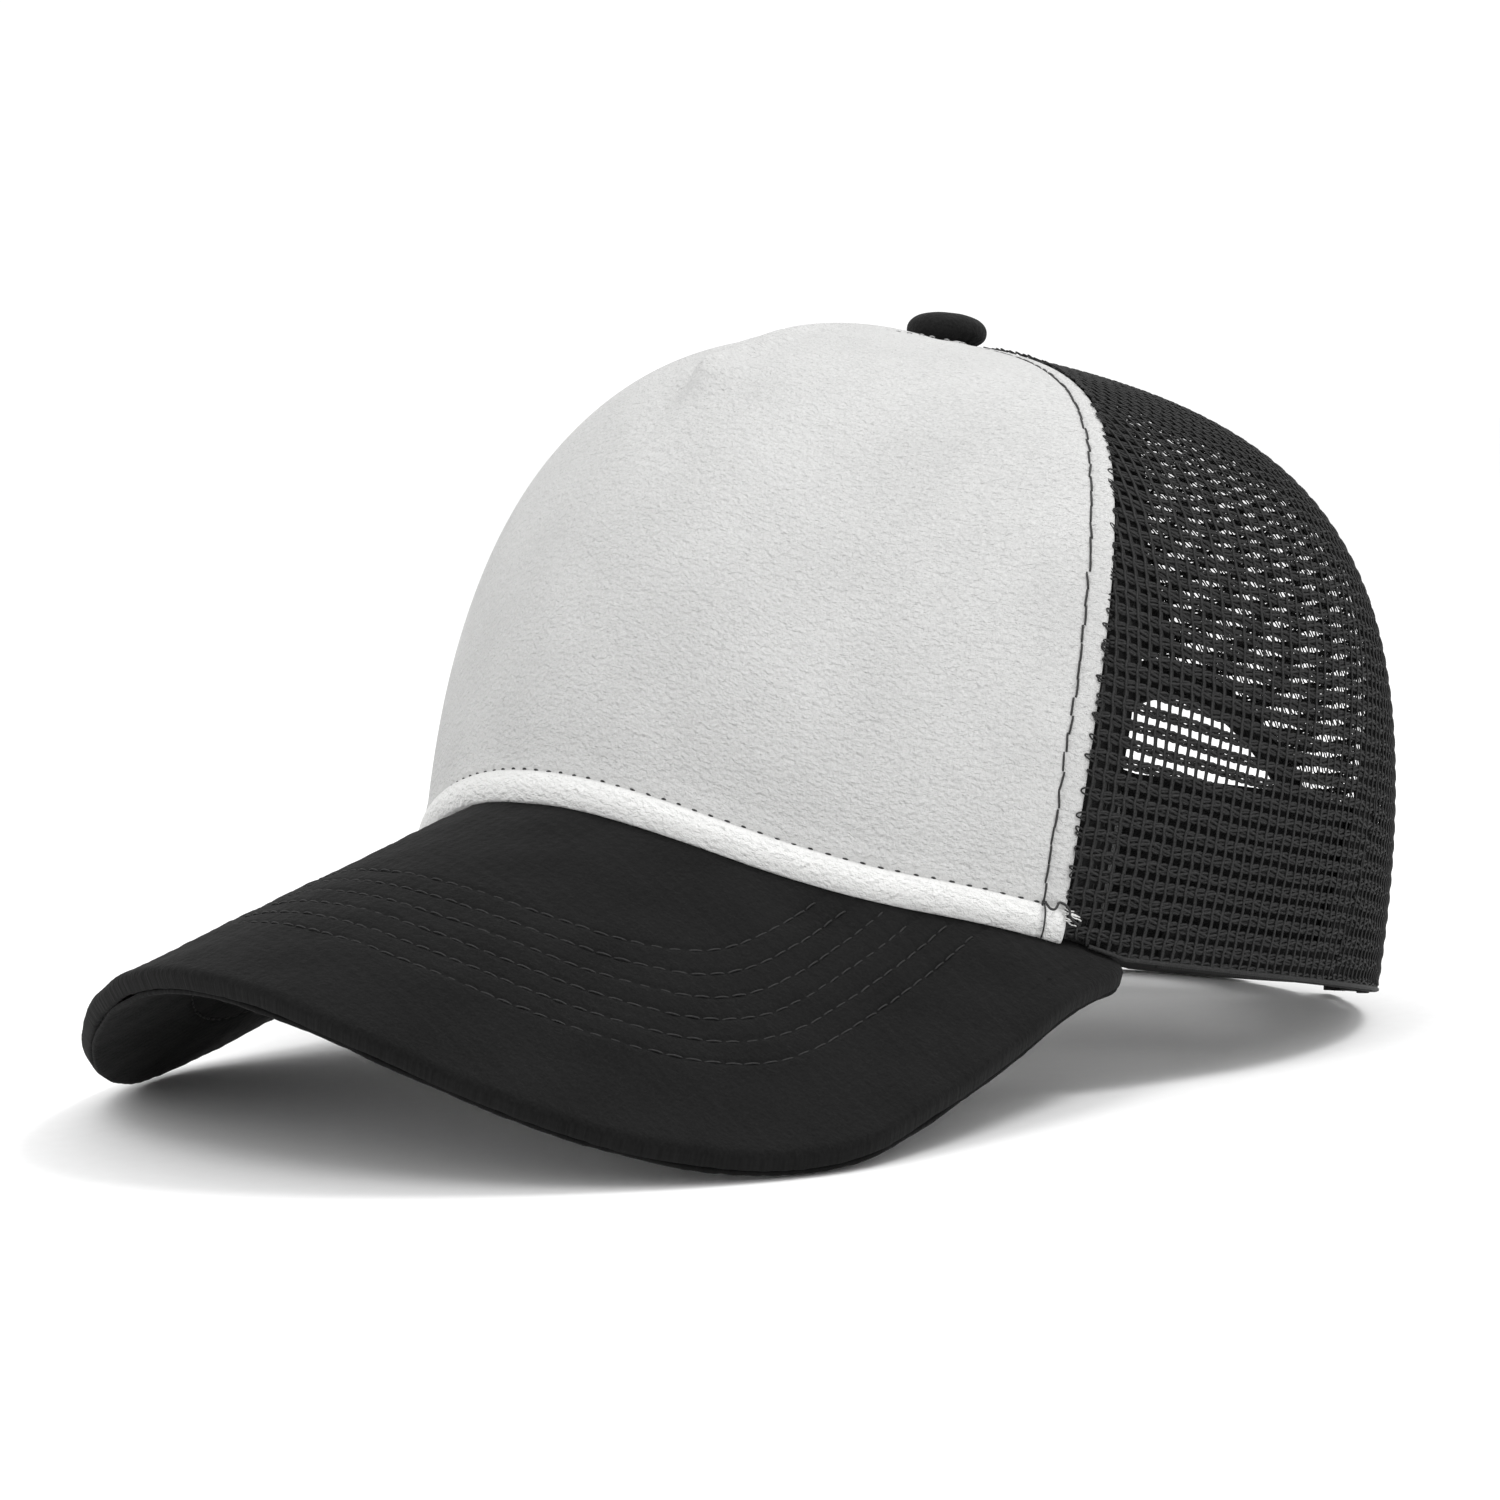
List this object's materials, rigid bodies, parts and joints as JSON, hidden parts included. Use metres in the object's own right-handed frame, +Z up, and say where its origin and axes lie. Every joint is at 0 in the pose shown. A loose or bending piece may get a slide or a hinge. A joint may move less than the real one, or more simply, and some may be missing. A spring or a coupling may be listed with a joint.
{
  "type": "trucker mesh cap",
  "caption": "Baseball-style cap with a suede front, curved suede brim, knitted mesh sides and back, covered button and a plastic snap strap.",
  "frame": {"origin": "centre of the cap's bounding box in plan, on the surface it rests on", "axes": "-Y is where the brim points, +X is the wearer's left, +Z is up; the cap rests on both sides of its brim and the back of its rim"},
  "size_m": [0.184, 0.2441, 0.1323],
  "materials": {
    "white_suede": "brushed suede",
    "black_suede": "brushed suede",
    "black_mesh": "knitted net",
    "black_twill": "twill",
    "black_tape": "woven tape",
    "buckram": "stiffened cloth",
    "foam": "thin foam",
    "brim_plastic": "matt",
    "strap_plastic": "satin",
    "plated_steel": "plated",
    "label_cloth": "plain weave"
  },
  "bodies": {
    "cap_body": {"front_panel": "white_suede", "front_backing": "buckram", "front_dart_tape": "black_tape", "arch_binding": "black_tape", "side_panel_right": "black_mesh", "side_panel_left": "black_mesh", "back_panel_right": "black_mesh", "back_panel_left": "black_mesh", "rim_tape_right": "black_tape", "rim_tape_left": "black_tape", "front_seam_tape_right": "black_tape", "front_seam_tape_left": "black_tape", "side_seam_tape_right": "black_tape", "side_seam_tape_left": "black_tape", "back_seam_tape": "black_tape", "sweatband": "black_twill", "sweatband_pad": "foam", "care_label": "label_cloth", "brim_cover_top": "black_suede", "brim_board": "brim_plastic", "brim_cover_bottom": "black_suede", "button_cover": "black_suede", "button_shell": "plated_steel", "button_rivet": "plated_steel", "button_washer": "plated_steel", "strap_holes_tail": "strap_plastic", "strap_pegs_tail": "strap_plastic"},
    "holes_strap": {"strap_holes": "strap_plastic"},
    "pegs_strap": {"strap_pegs": "strap_plastic"}
  },
  "joints": [
    {"name": "holes_strap_opens", "type": "hinge", "parent": "cap_body", "child": "holes_strap", "pos_m": [-0.03612, 0.11454, 0.01056], "axis": [0, 0.2011, 0.9796], "range_deg": [0, 60], "stiffness_Nm_per_rad": 0.01},
    {"name": "pegs_strap_opens", "type": "hinge", "parent": "cap_body", "child": "pegs_strap", "pos_m": [0.03553, 0.11305, 0.01064], "axis": [0, 0.2011, 0.9796], "range_deg": [0, 22], "stiffness_Nm_per_rad": 0.01}
  ]
}
